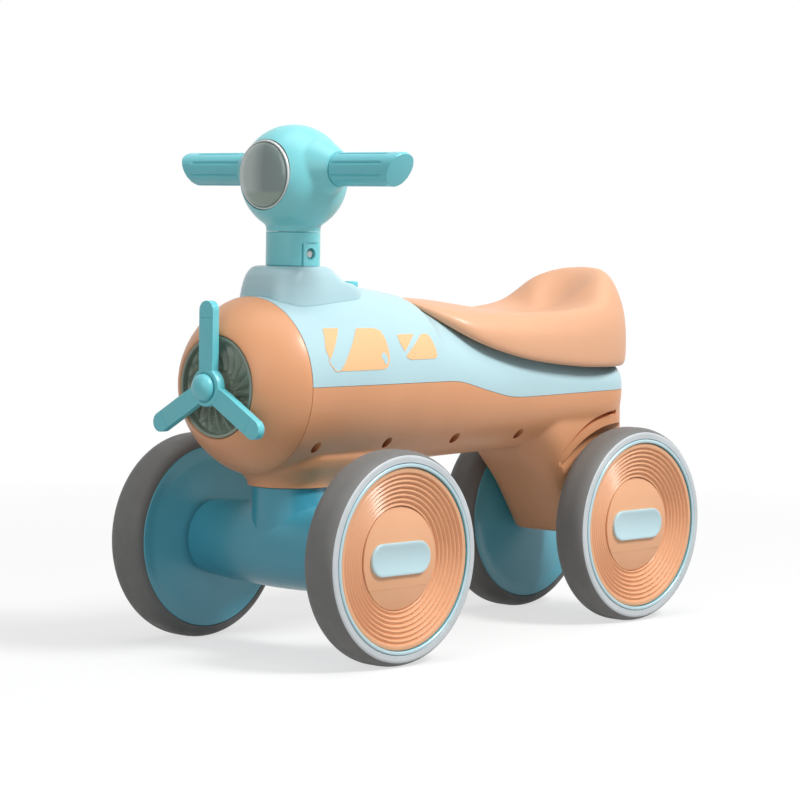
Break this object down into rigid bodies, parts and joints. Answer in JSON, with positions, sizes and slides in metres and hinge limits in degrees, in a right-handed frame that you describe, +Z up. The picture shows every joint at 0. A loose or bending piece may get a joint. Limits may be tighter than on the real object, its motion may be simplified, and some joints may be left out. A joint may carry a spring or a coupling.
{
  "type": "toddler balance scooter",
  "caption": "Aeroplane shaped balance ride-on for a toddler with a saddle, a turning handlebar with a lamp head, a spinning propeller and broad wheels.",
  "frame": {"origin": "on the floor below the middle of the whole object", "axes": "+Z up, nose and propeller towards -Y, +X is the rider's left"},
  "size_m": [0.224, 0.4822, 0.3739],
  "materials": {
    "light_blue_plastic": "smooth moulded plastic, satin",
    "axle_blue_plastic": "smooth moulded plastic, satin",
    "orange_plastic": "smooth moulded plastic, satin",
    "tyre_foam": "smooth dull foam rubber",
    "intake_plastic": "silvery beige, satin",
    "lens_plastic": "pale grey, glossy",
    "white_plastic": "smooth moulded plastic",
    "steel": "plain zinc plated",
    "black_plastic": "matt",
    "circuit_board": "varnished board",
    "cell_metal": "wrapped cell"
  },
  "bodies": {
    "body": {"battery_box": "black_plastic", "battery_door": "orange_plastic", "battery_left": "cell_metal", "battery_right": "cell_metal", "button_spring": "steel", "intake_grille": "intake_plastic", "lower_shell_left": "orange_plastic", "lower_shell_right": "orange_plastic", "lower_steering_bush": "white_plastic", "neck_housing": "light_blue_plastic", "nose_cowl": "orange_plastic", "rear_axle": "steel", "rear_axle_nut": "steel", "saddle": "orange_plastic", "saddle_screw_front": "steel", "saddle_screw_rear": "steel", "shell_screw_1": "steel", "shell_screw_2": "steel", "shell_screw_3": "steel", "shell_screw_4": "steel", "sound_board": "circuit_board", "speaker": "black_plastic", "upper_shell": "light_blue_plastic", "upper_steering_bush": "white_plastic"},
    "steering": {"column_sleeve": "light_blue_plastic", "column_screw": "steel", "front_axle": "steel", "front_axle_housing": "axle_blue_plastic", "front_axle_nut": "steel", "grip_left": "light_blue_plastic", "grip_right": "light_blue_plastic", "handlebar_tube": "steel", "head_front_shell": "light_blue_plastic", "head_rear_shell": "light_blue_plastic", "head_screw": "steel", "headlight_bezel": "white_plastic", "headlight_lens": "lens_plastic", "led_board": "circuit_board", "steering_tube": "steel"},
    "propeller": {"propeller": "light_blue_plastic", "propeller_cap": "light_blue_plastic", "propeller_shaft": "steel", "propeller_retainer": "steel"},
    "power_button": {"power_button": "light_blue_plastic"},
    "wheel_front_left": {"hub_front_left": "light_blue_plastic", "tyre_front_left": "tyre_foam", "wheel_cap_front_left": "orange_plastic", "badge_front_left": "light_blue_plastic"},
    "wheel_front_right": {"hub_front_right": "light_blue_plastic", "tyre_front_right": "tyre_foam", "wheel_cap_front_right": "orange_plastic", "badge_front_right": "light_blue_plastic"},
    "wheel_rear_left": {"hub_rear_left": "light_blue_plastic", "tyre_rear_left": "tyre_foam", "wheel_cap_rear_left": "orange_plastic", "badge_rear_left": "light_blue_plastic"},
    "wheel_rear_right": {"hub_rear_right": "light_blue_plastic", "tyre_rear_right": "tyre_foam", "wheel_cap_rear_right": "orange_plastic", "badge_rear_right": "light_blue_plastic"}
  },
  "joints": [
    {"name": "steering_turn", "type": "hinge", "parent": "body", "child": "steering", "pos_m": [0, -0.1484, 0.3357], "axis": [0, 0, 1], "range_deg": [-30, 30]},
    {"name": "propeller_spin", "type": "hinge", "parent": "body", "child": "propeller", "pos_m": [0, -0.2254, 0.1905], "axis": [0, -1, 0], "continuous": true},
    {"name": "power_button_press", "type": "slide", "parent": "body", "child": "power_button", "axis": [0, 0, -1], "range_m": [0, 0.0015], "stiffness_N_per_m": 400, "springref_m": -0.001, "deforming": ["button_spring"]},
    {"name": "wheel_front_left_spin", "type": "hinge", "parent": "steering", "child": "wheel_front_left", "pos_m": [0.0822, -0.1464, 0.075], "axis": [1, 0, 0], "continuous": true},
    {"name": "wheel_front_right_spin", "type": "hinge", "parent": "steering", "child": "wheel_front_right", "pos_m": [-0.0822, -0.1464, 0.075], "axis": [1, 0, 0], "continuous": true},
    {"name": "wheel_rear_left_spin", "type": "hinge", "parent": "body", "child": "wheel_rear_left", "pos_m": [0.04225, 0.1661, 0.075], "axis": [1, 0, 0], "continuous": true},
    {"name": "wheel_rear_right_spin", "type": "hinge", "parent": "body", "child": "wheel_rear_right", "pos_m": [-0.04225, 0.1661, 0.075], "axis": [1, 0, 0], "continuous": true}
  ]
}
